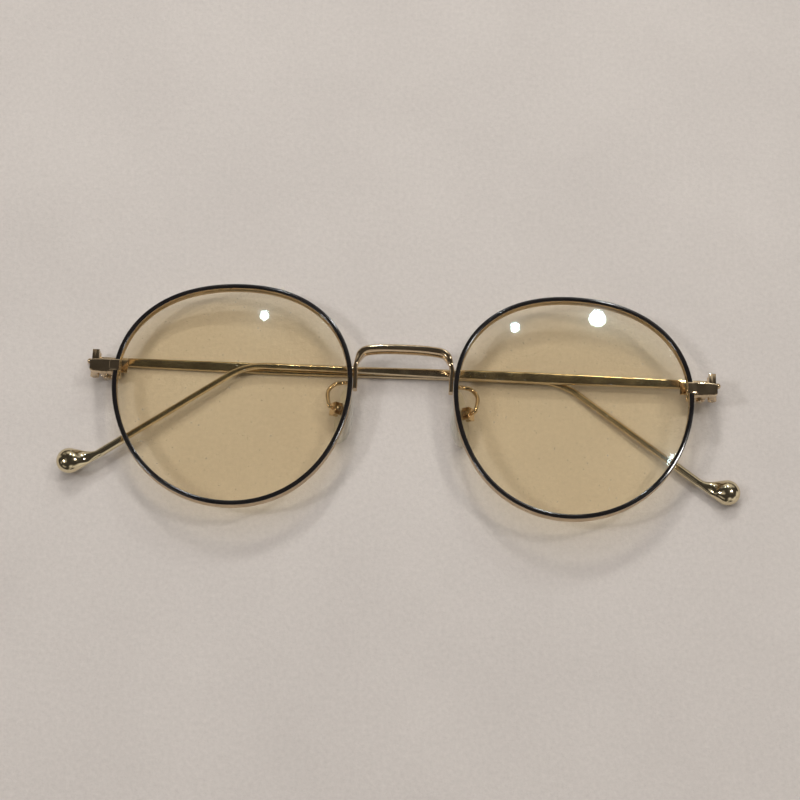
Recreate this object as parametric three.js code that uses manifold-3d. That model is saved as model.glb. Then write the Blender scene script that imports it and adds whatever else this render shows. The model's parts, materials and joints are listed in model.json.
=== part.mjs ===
// Folding metal spectacles with round tinted lenses, lying on their folded temples, front up.
// Millimetres. +X runs to the wearer's left end piece, +Y to the top of the frame, +Z up, out of the
// lenses' front. The origin is under the middle of the bounding box, on the surface they lie on.
// "left" and "right" in the names are the wearer's sides: left is at +X.
import * as THREE from "three";
import Module from "manifold-3d";
import { mergeVertices } from "three/addons/utils/BufferGeometryUtils.js";

// Eyewire: the outer edge of each rim is a circle drawn out into square upper shoulders.
const RIM_CENTRE_X = 35.6;
const RIM_RADIUS = 25.05;
const RIM_SHOULDER = 0.6;
const RIM_NASAL_FLAT = 0.15;
const RIM_OVAL = 0.1;
const RIM_SQUARE = 0.25;
const RIM_FACE = 1.0;
const RIM_DEPTH = 2.3;
const RIM_CHAMFER = 0.25;
const GROOVE_DEPTH = 0.45;
const GROOVE_HALF_WIDTH = 0.4;
const GROOVE_Z = -1.15;
const RIM_STATIONS = 60;
const SPLIT_Y = 4.9;
const SPLIT_GAP = 0.4;

// Lens
const LENS_CLEARANCE = 0.08;
const LENS_HALF_EDGE = 0.75;
const LENS_BULGE = 2.3;
const LENS_RINGS = 3;

// End piece, rim lock and hinge
const LOCK_HALF_WIDTH = 1.25;
const COLLAR_THICKNESS = 0.3;
const SOLDER_GAP = 0.05;
const ENDPIECE_OUTER_X = 65.5;
const ENDPIECE_HALF_HEIGHT = 1.5;
const ENDPIECE_BLOCK_LENGTH = 2.6;
const ENDPIECE_PLATE = 1.5;
const LOCK_BACK_Z = -3.9;
const LOCK_OUTER_X = 63.2;
const LOCK_SCREW_X = 62.1;
const LOCK_SCREW_RADIUS = 0.4;
const LOCK_HEAD_RADIUS = 0.7;
const HINGE_X = 64.9;
const HINGE_Y = 6.4;
const HINGE_Z = -4.0;
const KNUCKLE_RADIUS = 0.95;
const KNUCKLE_HALF_STACK = 2.6;
const KNUCKLE_HALF_MIDDLE = 0.9;
const KNUCKLE_GAP = 0.06;
const PIN_RADIUS = 0.42;
const BORE_CLEARANCE = 0.06;
const PIN_HEAD_RADIUS = 0.75;
const PIN_HEAD_HEIGHT = 0.35;
const SCREW_SLOT = 0.22;

// Temple, measured from the hinge axis towards the tip, with the temple folded
const FOLD_LEAN_DEG = 0.75;
const BAR_DEPTH = -2.2;
const BAR_Y = 1.7;
const BAR_SLOPE_DEG = 0;
const BAR_HALF_THICKNESS = 0.55;
const BAR_ROOT_HALF_HEIGHT = 0.95;
const BAR_SWELL_HALF_HEIGHT = 1.15;
const SWELL_AT = 34;
const WIRE_RADIUS = 0.7;
const WIRE_FROM = 84;
const BEND_AT = 98.3;
const BEND_DEG = 36.2;
const BEND_RADIUS = 14;
const SLEEVE_AT = 30.1;
const WIRE_IN_SLEEVE = 5.5;
const BAR_BUTT = 0.9;
const STUD_RADIUS = 0.65;
const STUD_NECK = 0.4;
const STUD_REACH = 1.35;

// Temple tip: a sleeve that grows into a flattened ball set to one side
const SLEEVE_RADIUS = 0.9;
const SLEEVE_LENGTH = 6.0;
const BALL_RADIUS = 2.7;
const BALL_HALF_THICKNESS = 2.1;
const BALL_AT = 11.8;
const BALL_OFFSET = 2.0;
const NECK_END = 9.9;

// Bridge
const BRIDGE_HALF_HEIGHT = 0.72;
const BRIDGE_HALF_DEPTH = 1.45;
const BRIDGE_LEG_HALF_WIDTH = 0.4;
const BRIDGE_LEG_HALF_DEPTH = 0.85;
const BRIDGE_Z = -1.2;
const BRIDGE_TOP_Y = 11.5;
const BRIDGE_SHOULDER = [8.7, 10.5];
const BRIDGE_RISE = [5.5, 11.3];
const BRIDGE_LEG_TOP = [10.03, 7.6];
const BRIDGE_LEG_MIDDLE = [10.0, 5.0];
const BRIDGE_LEG_FOOT = [10.0, 2.0];

// Nose pads
const PAD_PIVOT = new THREE.Vector3(13.8, -1.5, -3.9);
const PAD_FACING = new THREE.Vector3(-0.85, 0, -0.527);
const PAD_LONG_AXIS = new THREE.Vector3(-0.2, 0.98, 0);
const PAD_HALF_LENGTH = 6.2;
const PAD_HALF_WIDTH = 3.2;
const PAD_TAPER = 0.28;
const PAD_DROP = -0.7;
const PAD_BACK = 1.45;
const PAD_THICKNESS = 1.5;
const BOX_HALF = new THREE.Vector3(1.15, 1.3, 0.9);
const BOX_SLOT_HALF = 0.6;
const BOX_SLOT_FLOOR = -0.45;
const TONGUE_HALF = 0.5;
const INSERT_RADIUS = 1.2;
const INSERT_PLATE = 0.4;
const ARM_RADIUS = 0.45;
const ARM_ROOT_Y = 4.0;
const ARM_LOOP_Z = -4.4;
const PAD_SCREW_RADIUS = 0.3;
const PAD_SCREW_HEAD = 0.55;

const DEG = Math.PI / 180;
const wasm = await Module();
wasm.setup();

const GOLD = { color: 0xc9a86a, metalness: 1.0, roughness: 0.18 };
const LACQUER = { color: 0x14120f, metalness: 0.6, roughness: 0.15 };
const TINT = { color: 0xd9bd8a, metalness: 0.0, roughness: 0.05, transparent: true, opacity: 0.35 };
const SILICONE = { color: 0xd8d4cc, metalness: 0.0, roughness: 0.25, transparent: true, opacity: 0.6 };
const STEEL = { color: 0x9a958c, metalness: 1.0, roughness: 0.3 };

// ---- geometry helpers ----

// A body through a row of outlines. Each station has an origin, two unit vectors across the path
// (side x up points along it) and an outline in those two, counter-clockwise.
function loft(stations, closed = false) {
  const count = stations[0].outline.length;
  const positions = [];
  for (const { origin, side, up, outline } of stations) {
    for (const p of outline) {
      const q = origin.clone().addScaledVector(side, p.x).addScaledVector(up, p.y);
      positions.push(q.x, q.y, q.z);
    }
  }
  const index = [];
  const last = closed ? stations.length : stations.length - 1;
  for (let i = 0; i < last; i++) {
    const a = i * count;
    const b = ((i + 1) % stations.length) * count;
    for (let j = 0; j < count; j++) {
      const k = (j + 1) % count;
      index.push(a + j, a + k, b + k, a + j, b + k, b + j);
    }
  }
  if (!closed) {
    const end = (stations.length - 1) * count;
    for (const [p, q, r] of THREE.ShapeUtils.triangulateShape(stations[0].outline, [])) {
      index.push(p, r, q);
    }
    for (const [p, q, r] of THREE.ShapeUtils.triangulateShape(stations.at(-1).outline, [])) {
      index.push(end + p, end + q, end + r);
    }
  }
  const geometry = new THREE.BufferGeometry();
  geometry.setAttribute("position", new THREE.Float32BufferAttribute(positions, 3));
  geometry.setIndex(index);
  geometry.computeVertexNormals();
  return geometry;
}

// An outline between a rectangle (power well over 2) and an ellipse (power 2).
function roundedOutline(halfX, halfY, power, count = 16) {
  return Array.from({ length: count }, (_, i) => {
    const a = ((i + 0.5) / count) * 2 * Math.PI;
    const c = Math.cos(a);
    const s = Math.sin(a);
    return new THREE.Vector2(
      halfX * Math.sign(c) * Math.abs(c) ** (2 / power),
      halfY * Math.sign(s) * Math.abs(s) ** (2 / power),
    );
  });
}

// A body along a curve in a plane square to Z, with an outline for each fraction of its length.
function sweepFlat(points, outlineAt) {
  const up = new THREE.Vector3(0, 0, 1);
  const stations = points.map((origin, i) => {
    const before = points[Math.max(i - 1, 0)];
    const after = points[Math.min(i + 1, points.length - 1)];
    const along = after.clone().sub(before).normalize();
    const side = up.clone().cross(along).normalize();
    return { origin, side, up, outline: outlineAt(i, i / (points.length - 1)) };
  });
  return loft(stations);
}

function block(x0, x1, y0, y1, z0, z1) {
  return new THREE.BoxGeometry(x1 - x0, y1 - y0, z1 - z0).translate(
    (x0 + x1) / 2,
    (y0 + y1) / 2,
    (z0 + z1) / 2,
  );
}

// A rod along Y between two heights.
function rodY(radius, y0, y1, x = 0, z = 0, segments = 24) {
  return new THREE.CylinderGeometry(radius, radius, y1 - y0, segments).translate(x, (y0 + y1) / 2, z);
}

function solidOf(geometry) {
  const bare = geometry.clone();
  bare.deleteAttribute("normal");
  bare.deleteAttribute("uv");
  const merged = mergeVertices(bare, 1e-4);
  const mesh = new wasm.Mesh({
    numProp: 3,
    vertProperties: Float32Array.from(merged.attributes.position.array),
    triVerts: Uint32Array.from(merged.index.array),
  });
  return new wasm.Manifold(mesh);
}

function geometryOf(solid) {
  const mesh = solid.getMesh();
  const geometry = new THREE.BufferGeometry();
  geometry.setAttribute("position", new THREE.Float32BufferAttribute(mesh.vertProperties, 3));
  geometry.setIndex(Array.from(mesh.triVerts));
  geometry.computeVertexNormals();
  return geometry;
}

function fuse(...parts) {
  return geometryOf(parts.map(solidOf).reduce((a, b) => a.add(b)));
}

function cut(body, ...tools) {
  return geometryOf(tools.map(solidOf).reduce((a, b) => a.subtract(b), solidOf(body)));
}

// The same body on the other side of the plane x = 0.
function mirrored(geometry) {
  const other = geometry.clone();
  other.scale(-1, 1, 1);
  const count = other.attributes.position.count;
  const index = other.index ? Array.from(other.index.array) : Array.from({ length: count }, (_, i) => i);
  for (let i = 0; i < index.length; i += 3) {
    [index[i + 1], index[i + 2]] = [index[i + 2], index[i + 1]];
  }
  other.setIndex(index);
  other.computeVertexNormals();
  return other;
}

function forSide(geometry, side) {
  return side > 0 ? geometry : mirrored(geometry);
}

function addMesh(parent, name, geometry, look) {
  const mesh = new THREE.Mesh(geometry, new THREE.MeshStandardMaterial(look));
  mesh.name = name;
  parent.add(mesh);
  return mesh;
}

// ---- rim and lens, drawn on the +X side ----

function rimRadius(angle) {
  return (
    RIM_RADIUS +
    RIM_SHOULDER * (Math.sin(angle) + Math.sin(3 * angle)) +
    RIM_NASAL_FLAT * (Math.cos(3 * angle) - Math.cos(angle)) +
    RIM_OVAL * Math.cos(2 * angle) -
    RIM_SQUARE * Math.cos(4 * angle)
  );
}

function rimPoint(angle) {
  const r = rimRadius(angle);
  return new THREE.Vector3(RIM_CENTRE_X + r * Math.cos(angle), r * Math.sin(angle), 0);
}

function rimOutward(angle) {
  const step = 0.01;
  const along = rimPoint(angle + step).sub(rimPoint(angle - step)).normalize();
  return new THREE.Vector3(along.y, -along.x, 0);
}

// The split lies behind the end piece; the eyewire runs from one side of it round to the other.
const splitAngle = Math.asin(SPLIT_Y / RIM_RADIUS);
const splitHalf = SPLIT_GAP / 2 / RIM_RADIUS;
const rimAngles = Array.from(
  { length: RIM_STATIONS + 1 },
  (_, i) => splitAngle + splitHalf + (i / RIM_STATIONS) * 2 * (Math.PI - splitHalf),
);

function rimGeometry() {
  const inner = -RIM_FACE;
  const profile = [
    [0, -RIM_CHAMFER],
    [-RIM_CHAMFER, 0],
    [inner + RIM_CHAMFER, 0],
    [inner, -RIM_CHAMFER],
    [inner, GROOVE_Z + GROOVE_HALF_WIDTH],
    [inner + GROOVE_DEPTH, GROOVE_Z],
    [inner, GROOVE_Z - GROOVE_HALF_WIDTH],
    [inner, RIM_CHAMFER - RIM_DEPTH],
    [inner + RIM_CHAMFER, -RIM_DEPTH],
    [-RIM_CHAMFER, -RIM_DEPTH],
    [0, RIM_CHAMFER - RIM_DEPTH],
  ].map(([n, z]) => new THREE.Vector2(n, z));
  const up = new THREE.Vector3(0, 0, 1);
  const stations = rimAngles.map((angle) => ({
    origin: rimPoint(angle),
    side: rimOutward(angle),
    up,
    outline: profile,
  }));
  return flipped(loft(stations));
}

function flipped(geometry) {
  const index = Array.from(geometry.index.array);
  for (let i = 0; i < index.length; i += 3) {
    [index[i + 1], index[i + 2]] = [index[i + 2], index[i + 1]];
  }
  geometry.setIndex(index);
  geometry.computeVertexNormals();
  return geometry;
}

// A domed lens: rings of points shrink towards the optical centre on the front and the back, and a
// bevel at the edge stands in the rim's groove.
function lensGeometry() {
  const angles = Array.from({ length: RIM_STATIONS }, (_, i) => (i / RIM_STATIONS) * 2 * Math.PI);
  const centre = new THREE.Vector3(RIM_CENTRE_X, 0, 0);
  const edge = (angle, inset) => rimPoint(angle).addScaledVector(rimOutward(angle), -inset);
  const ring = (inset, share, z) =>
    angles.map((angle) => {
      const p = edge(angle, inset).sub(centre).multiplyScalar(share).add(centre);
      p.z = z;
      return p;
    });
  const flat = RIM_FACE + LENS_CLEARANCE;
  const dome = (share) => LENS_BULGE * (1 - share * share);
  const rings = [];
  for (let i = 1; i <= LENS_RINGS; i++) {
    const share = i / LENS_RINGS;
    rings.push(ring(flat, share, GROOVE_Z + LENS_HALF_EDGE + dome(share)));
  }
  rings.push(ring(flat, 1, GROOVE_Z + GROOVE_HALF_WIDTH - LENS_CLEARANCE));
  rings.push(ring(RIM_FACE - GROOVE_DEPTH + 2 * LENS_CLEARANCE, 1, GROOVE_Z));
  rings.push(ring(flat, 1, GROOVE_Z - GROOVE_HALF_WIDTH + LENS_CLEARANCE));
  for (let i = LENS_RINGS; i >= 1; i--) {
    const share = i / LENS_RINGS;
    rings.push(ring(flat, share, GROOVE_Z - LENS_HALF_EDGE + dome(share)));
  }
  const positions = rings.flat().flatMap((p) => [p.x, p.y, p.z]);
  const front = positions.length / 3;
  positions.push(RIM_CENTRE_X, 0, GROOVE_Z + LENS_HALF_EDGE + dome(0));
  positions.push(RIM_CENTRE_X, 0, GROOVE_Z - LENS_HALF_EDGE + dome(0));
  const index = [];
  const n = angles.length;
  for (let j = 0; j < n; j++) {
    const k = (j + 1) % n;
    index.push(front, j, k);
    for (let i = 0; i + 1 < rings.length; i++) {
      const a = i * n;
      const b = a + n;
      index.push(a + j, b + j, b + k, a + j, b + k, a + k);
    }
    const end = (rings.length - 1) * n;
    index.push(front + 1, end + k, end + j);
  }
  const geometry = new THREE.BufferGeometry();
  geometry.setAttribute("position", new THREE.Float32BufferAttribute(positions, 3));
  geometry.setIndex(index);
  geometry.computeVertexNormals();
  return geometry;
}

// ---- bridge ----

function bridgeGeometry() {
  const half = [BRIDGE_LEG_FOOT, BRIDGE_LEG_MIDDLE, BRIDGE_LEG_TOP, BRIDGE_SHOULDER, BRIDGE_RISE];
  const left = half.map(([x, y]) => new THREE.Vector3(-x, y, BRIDGE_Z));
  const right = half.map(([x, y]) => new THREE.Vector3(x, y, BRIDGE_Z)).reverse();
  const middle = new THREE.Vector3(0, BRIDGE_TOP_Y, BRIDGE_Z);
  const curve = new THREE.CatmullRomCurve3([...left, middle, ...right], false, "centripetal");
  const points = curve.getSpacedPoints(32);
  return sweepFlat(points, (i, t) => {
    const reach = Math.abs(points[i].x) / BRIDGE_LEG_FOOT[0];
    const slim = points[i].y > BRIDGE_SHOULDER[1] ? 0 : 1 - points[i].y / BRIDGE_SHOULDER[1];
    const leg = THREE.MathUtils.smoothstep(reach * 0.6 + slim * 2.2, 0.6, 1.2);
    return roundedOutline(
      THREE.MathUtils.lerp(BRIDGE_HALF_HEIGHT, BRIDGE_LEG_HALF_WIDTH, leg),
      THREE.MathUtils.lerp(BRIDGE_HALF_DEPTH, BRIDGE_LEG_HALF_DEPTH, leg),
      3.2,
    );
  });
}

// ---- end piece, rim lock and hinge, drawn on the +X side ----

const rimOuterX = RIM_CENTRE_X + Math.sqrt(RIM_RADIUS ** 2 - SPLIT_Y ** 2);
const blockInnerX = rimOuterX + 0.45;

function endpieceGeometry() {
  const along = [
    [blockInnerX, RIM_DEPTH, ENDPIECE_HALF_HEIGHT],
    [blockInnerX + ENDPIECE_BLOCK_LENGTH, RIM_DEPTH, ENDPIECE_HALF_HEIGHT],
    [blockInnerX + ENDPIECE_BLOCK_LENGTH + 0.4, ENDPIECE_PLATE, ENDPIECE_HALF_HEIGHT - 0.1],
    [ENDPIECE_OUTER_X - 0.5, ENDPIECE_PLATE, ENDPIECE_HALF_HEIGHT - 0.15],
    [ENDPIECE_OUTER_X, ENDPIECE_PLATE - 0.3, ENDPIECE_HALF_HEIGHT - 0.45],
  ];
  const side = new THREE.Vector3(0, 1, 0);
  const up = new THREE.Vector3(0, 0, 1);
  const body = loft(
    along.map(([x, depth, halfHeight]) => ({
      origin: new THREE.Vector3(x, SPLIT_Y, -depth / 2),
      side,
      up,
      outline: roundedOutline(halfHeight, depth / 2, 7),
    })),
  );
  const collar = block(
    rimOuterX - RIM_FACE,
    blockInnerX + 0.6,
    SPLIT_Y - LOCK_HALF_WIDTH,
    SPLIT_Y + LOCK_HALF_WIDTH,
    SOLDER_GAP,
    SOLDER_GAP + COLLAR_THICKNESS,
  );
  const web = block(
    blockInnerX + 0.05,
    blockInnerX + 0.6,
    SPLIT_Y - LOCK_HALF_WIDTH,
    SPLIT_Y + LOCK_HALF_WIDTH,
    -ENDPIECE_PLATE,
    SOLDER_GAP + COLLAR_THICKNESS,
  );
  return fuse(body, collar, web);
}

function lockGeometry(upper) {
  const near = SPLIT_Y + (upper ? SPLIT_GAP / 2 : -SPLIT_GAP / 2);
  const far = SPLIT_Y + (upper ? ENDPIECE_HALF_HEIGHT : -ENDPIECE_HALF_HEIGHT);
  const body = block(
    rimOuterX - RIM_FACE + 0.2,
    LOCK_OUTER_X,
    Math.min(near, far),
    Math.max(near, far),
    LOCK_BACK_Z,
    -RIM_DEPTH - SOLDER_GAP,
  );
  const z = (LOCK_BACK_Z - RIM_DEPTH) / 2;
  return cut(body, rodY(LOCK_SCREW_RADIUS + BORE_CLEARANCE, -9, 9, LOCK_SCREW_X, z));
}

// A screw along Y with a slotted head on top (or below, for the rim lock).
function screwGeometry(radius, y0, y1, headRadius, headHeight, headUp) {
  const headY0 = headUp ? y1 : y0 - headHeight;
  const shank = rodY(radius, headUp ? y0 : y0 - 0.1, headUp ? y1 + 0.1 : y1);
  const head = rodY(headRadius, headY0, headY0 + headHeight);
  const depth = headHeight * 0.6;
  const slotY = headUp ? headY0 + headHeight : headY0;
  const slot = block(-headRadius - 1, headRadius + 1, slotY - depth, slotY + depth, -SCREW_SLOT / 2, SCREW_SLOT / 2);
  return cut(fuse(shank, head), slot);
}

function knuckle(y0, y1) {
  return rodY(KNUCKLE_RADIUS, y0, y1);
}

const pinBore = () => rodY(PIN_RADIUS + BORE_CLEARANCE, -9, 9);

// Front leaf, about the hinge axis: two knuckles on a plate soldered to the end piece's back.
function frontLeafGeometry() {
  const plateTop = -ENDPIECE_PLATE - SOLDER_GAP - HINGE_Z;
  const plate = block(-0.9, 0.55, -KNUCKLE_HALF_STACK, KNUCKLE_HALF_STACK, plateTop - 0.9, plateTop);
  const arm = (y0, y1) => fuse(knuckle(y0, y1), block(-0.7, 0.55, y0, y1, 0, plateTop - 0.1));
  const inner = KNUCKLE_HALF_MIDDLE + KNUCKLE_GAP;
  return cut(fuse(plate, arm(inner, KNUCKLE_HALF_STACK), arm(-KNUCKLE_HALF_STACK, -inner)), pinBore());
}

// Temple leaf, about the same axis: the middle knuckle on a plate soldered to the temple.
function templeLeafGeometry() {
  const plateBottom = BAR_DEPTH + BAR_HALF_THICKNESS + SOLDER_GAP;
  const h = KNUCKLE_HALF_MIDDLE;
  const web = block(-0.95, 0.45, -h, h, plateBottom, 0);
  const plate = block(-6.5, 0.45, -h, BAR_Y + 0.55, plateBottom, plateBottom + 0.45);
  return cut(fuse(knuckle(-h, h), web, plate), pinBore());
}

// ---- temple, about the hinge axis, folded: it runs towards -X ----

const slope = BAR_SLOPE_DEG * DEG;
const fall = slope - BEND_DEG * DEG;
const bendTangent = BEND_RADIUS * Math.tan((BEND_DEG * DEG) / 2);
const straightLength = BEND_AT / Math.cos(slope) - bendTangent;

// The temple's centreline at a distance from the hinge, and its direction there.
function templeAt(s) {
  const start = new THREE.Vector2(0, BAR_Y);
  const bendStart = start.clone().add(new THREE.Vector2(Math.cos(slope), Math.sin(slope)).multiplyScalar(straightLength));
  const bendLength = BEND_RADIUS * BEND_DEG * DEG;
  let heading = slope;
  let point;
  if (s <= straightLength) {
    point = start.add(new THREE.Vector2(Math.cos(slope), Math.sin(slope)).multiplyScalar(s));
  } else {
    const turned = Math.min(s - straightLength, bendLength) / BEND_RADIUS;
    heading = slope - turned;
    point = bendStart.add(
      new THREE.Vector2(
        Math.sin(slope) * -1 + Math.sin(slope - turned),
        Math.cos(slope) - Math.cos(slope - turned),
      ).multiplyScalar(-BEND_RADIUS),
    );
    const beyond = Math.max(0, s - straightLength - bendLength);
    point.add(new THREE.Vector2(Math.cos(fall), Math.sin(fall)).multiplyScalar(beyond));
  }
  return { point: new THREE.Vector3(-point.x, point.y, BAR_DEPTH), heading };
}

const sleeveStart = straightLength + BEND_RADIUS * BEND_DEG * DEG + SLEEVE_AT - bendTangent;

function templeGeometry() {
  const places = [-BAR_BUTT, -0.6, 2, 10, 20, SWELL_AT, 46, 58, 70, 78, WIRE_FROM, 88];
  for (let i = 0; i <= 8; i++) {
    places.push(straightLength + (i / 8) * BEND_RADIUS * BEND_DEG * DEG);
  }
  places.push((places.at(-1) + sleeveStart) / 2, sleeveStart, sleeveStart + WIRE_IN_SLEEVE);
  const points = places.map((s) => templeAt(s).point);
  return sweepFlat(points, (i) => {
    const s = places[i];
    const grow = THREE.MathUtils.smoothstep(s, 0, SWELL_AT);
    const thin = THREE.MathUtils.smoothstep(s, SWELL_AT, WIRE_FROM);
    const swell = THREE.MathUtils.lerp(BAR_ROOT_HALF_HEIGHT, BAR_SWELL_HALF_HEIGHT, grow);
    const ease = i === 0 ? 0.8 : 1;
    return roundedOutline(
      THREE.MathUtils.lerp(swell, WIRE_RADIUS, thin) * ease,
      THREE.MathUtils.lerp(BAR_HALF_THICKNESS, WIRE_RADIUS, thin) * ease,
      THREE.MathUtils.lerp(4, 2, thin),
    );
  });
}

function studGeometry() {
  const profile = [new THREE.Vector2(0, 0), new THREE.Vector2(STUD_NECK, 0)];
  const centre = STUD_REACH - STUD_RADIUS;
  const from = Math.asin(STUD_NECK / STUD_RADIUS);
  for (let i = 0; i <= 8; i++) {
    const a = Math.PI - from - (i / 8) * (Math.PI - from);
    profile.push(new THREE.Vector2(STUD_RADIUS * Math.sin(a), centre + STUD_RADIUS * Math.cos(a)));
  }
  profile[profile.length - 1].x = 0;
  const lathe = new THREE.LatheGeometry(profile, 20);
  lathe.rotateZ(-Math.PI / 2);
  return lathe.translate(BAR_BUTT + SOLDER_GAP, BAR_Y - 0.02, BAR_DEPTH);
}

function hermite(t, y0, m0, y1, m1) {
  const t2 = t * t;
  const t3 = t2 * t;
  return y0 * (2 * t3 - 3 * t2 + 1) + m0 * (t3 - 2 * t2 + t) + y1 * (3 * t2 - 2 * t3) + m1 * (t3 - t2);
}

// Half the ball's chord at a distance along the tip.
function ballChord(s) {
  return Math.sqrt(Math.max(0, BALL_RADIUS ** 2 - (s - BALL_AT) ** 2));
}

// The tip's upper edge, lower edge and half thickness at a distance along its axis.
function tipEdges(s) {
  const flat = BALL_HALF_THICKNESS / BALL_RADIUS;
  const lower = s < BALL_AT ? -SLEEVE_RADIUS + (s / BALL_AT) * (BALL_OFFSET - BALL_RADIUS + SLEEVE_RADIUS) : BALL_OFFSET - ballChord(s);
  if (s <= SLEEVE_LENGTH) {
    return { upper: SLEEVE_RADIUS, lower: -SLEEVE_RADIUS, thick: SLEEVE_RADIUS };
  }
  if (s >= NECK_END) {
    return { upper: BALL_OFFSET + ballChord(s), lower, thick: flat * ballChord(s) };
  }
  const run = NECK_END - SLEEVE_LENGTH;
  const t = (s - SLEEVE_LENGTH) / run;
  const chord = ballChord(NECK_END);
  const rise = ((BALL_AT - NECK_END) / chord) * run;
  return {
    upper: hermite(t, SLEEVE_RADIUS, 0, BALL_OFFSET + chord, rise),
    lower,
    thick: hermite(t, SLEEVE_RADIUS, 0, flat * chord, flat * rise),
  };
}

function tipGeometry() {
  const along = new THREE.Vector3(-Math.cos(fall), Math.sin(fall), 0);
  const upward = new THREE.Vector3(-Math.sin(fall), -Math.cos(fall), 0).negate();
  const up = new THREE.Vector3(0, 0, 1);
  const side = up.clone().cross(along);
  const sign = Math.sign(side.dot(upward));
  const start = templeAt(sleeveStart).point;
  const places = [0, 0.15, 3, SLEEVE_LENGTH];
  for (let i = 1; i <= 6; i++) {
    places.push(THREE.MathUtils.lerp(SLEEVE_LENGTH, NECK_END, i / 6));
  }
  for (let i = 1; i <= 10; i++) {
    places.push(BALL_AT + BALL_RADIUS * Math.sin(THREE.MathUtils.lerp(-0.6, 1.5, i / 10)));
  }
  const stations = places.map((s) => {
    const { upper, lower, thick } = tipEdges(s);
    const ease = s === 0 ? 0.88 : 1;
    const middle = (upper + lower) / 2;
    return {
      origin: start.clone().addScaledVector(along, s).addScaledVector(side, sign * middle),
      side,
      up,
      outline: roundedOutline(((upper - lower) / 2) * ease, thick * ease, 2, 20),
    };
  });
  const bore = new THREE.CylinderGeometry(WIRE_RADIUS + BORE_CLEARANCE, WIRE_RADIUS + BORE_CLEARANCE, 2 * (WIRE_IN_SLEEVE + 0.1), 20)
    .applyQuaternion(new THREE.Quaternion().setFromUnitVectors(new THREE.Vector3(0, 1, 0), along))
    .translate(start.x, start.y, start.z);
  return cut(loft(stations), bore);
}

// ---- nose pads, drawn about their pivot: +Z faces the nose, +Y runs up the pad ----

const padZ = PAD_FACING.clone().normalize();
const padY = PAD_LONG_AXIS.clone().addScaledVector(padZ, -PAD_LONG_AXIS.dot(padZ)).normalize();
const padX = padY.clone().cross(padZ);
const padTurn = new THREE.Matrix4().makeBasis(padX, padY, padZ).setPosition(PAD_PIVOT);

function rodX(radius, x0, x1, segments = 16) {
  return new THREE.CylinderGeometry(radius, radius, x1 - x0, segments)
    .rotateZ(Math.PI / 2)
    .translate((x0 + x1) / 2, 0, 0);
}

function rodZ(radius, z0, z1) {
  return new THREE.CylinderGeometry(radius, radius, z1 - z0, 24)
    .rotateX(Math.PI / 2)
    .translate(0, 0, (z0 + z1) / 2);
}

function padBoxGeometry() {
  const { x, y, z } = BOX_HALF;
  const slot = block(-BOX_SLOT_HALF, BOX_SLOT_HALF, -y - 1, y + 1, BOX_SLOT_FLOOR, z + 1);
  const bore = rodX(PAD_SCREW_RADIUS + BORE_CLEARANCE, -x - 1, x + 1);
  return cut(block(-x, x, -y, y, -z, z), slot, bore);
}

function padInsertGeometry() {
  const tongue = block(-TONGUE_HALF, TONGUE_HALF, -0.8, 0.8, -0.25, PAD_BACK + 0.2);
  const plate = rodZ(INSERT_RADIUS, PAD_BACK + 0.1, PAD_BACK + 0.1 + INSERT_PLATE);
  const bore = rodX(PAD_SCREW_RADIUS + BORE_CLEARANCE, -3, 3);
  return cut(fuse(tongue, plate), bore);
}

function padScrewGeometry() {
  const x = BOX_HALF.x;
  const shank = rodX(PAD_SCREW_RADIUS, -x, x + 0.1);
  const head = rodX(PAD_SCREW_HEAD, x + SOLDER_GAP, x + 0.35);
  const slot = block(x + 0.2, x + 1, -1, 1, -0.08, 0.08);
  return cut(fuse(shank, head), slot);
}

// A teardrop cushion, wider at the bottom, with a pocket that holds the insert's plate.
function padGeometry() {
  const count = 28;
  const outline = (grow) =>
    Array.from({ length: count }, (_, i) => {
      const a = (i / count) * 2 * Math.PI;
      const width = PAD_HALF_WIDTH * (1 - PAD_TAPER * Math.sin(a));
      return new THREE.Vector2(width * Math.cos(a) * grow, PAD_HALF_LENGTH * Math.sin(a) * grow);
    });
  const side = new THREE.Vector3(1, 0, 0);
  const up = new THREE.Vector3(0, 1, 0);
  const layers = [
    [0, 0.86],
    [0.2, 0.96],
    [0.6, 1],
    [1.0, 0.95],
    [1.3, 0.78],
    [PAD_THICKNESS, 0.4],
  ];
  const stations = layers.map(([z, grow]) => ({
    origin: new THREE.Vector3(0, PAD_DROP, PAD_BACK + z),
    side,
    up,
    outline: outline(grow),
  }));
  const c = BORE_CLEARANCE;
  const pocket = rodZ(INSERT_RADIUS + c, PAD_BACK + 0.1 - c, PAD_BACK + 0.1 + INSERT_PLATE + c);
  const mouth = block(-TONGUE_HALF - c, TONGUE_HALF + c, -0.8 - c, 0.8 + c, PAD_BACK - 1, PAD_BACK + 0.3);
  return cut(loft(stations), fuse(pocket, mouth));
}

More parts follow.
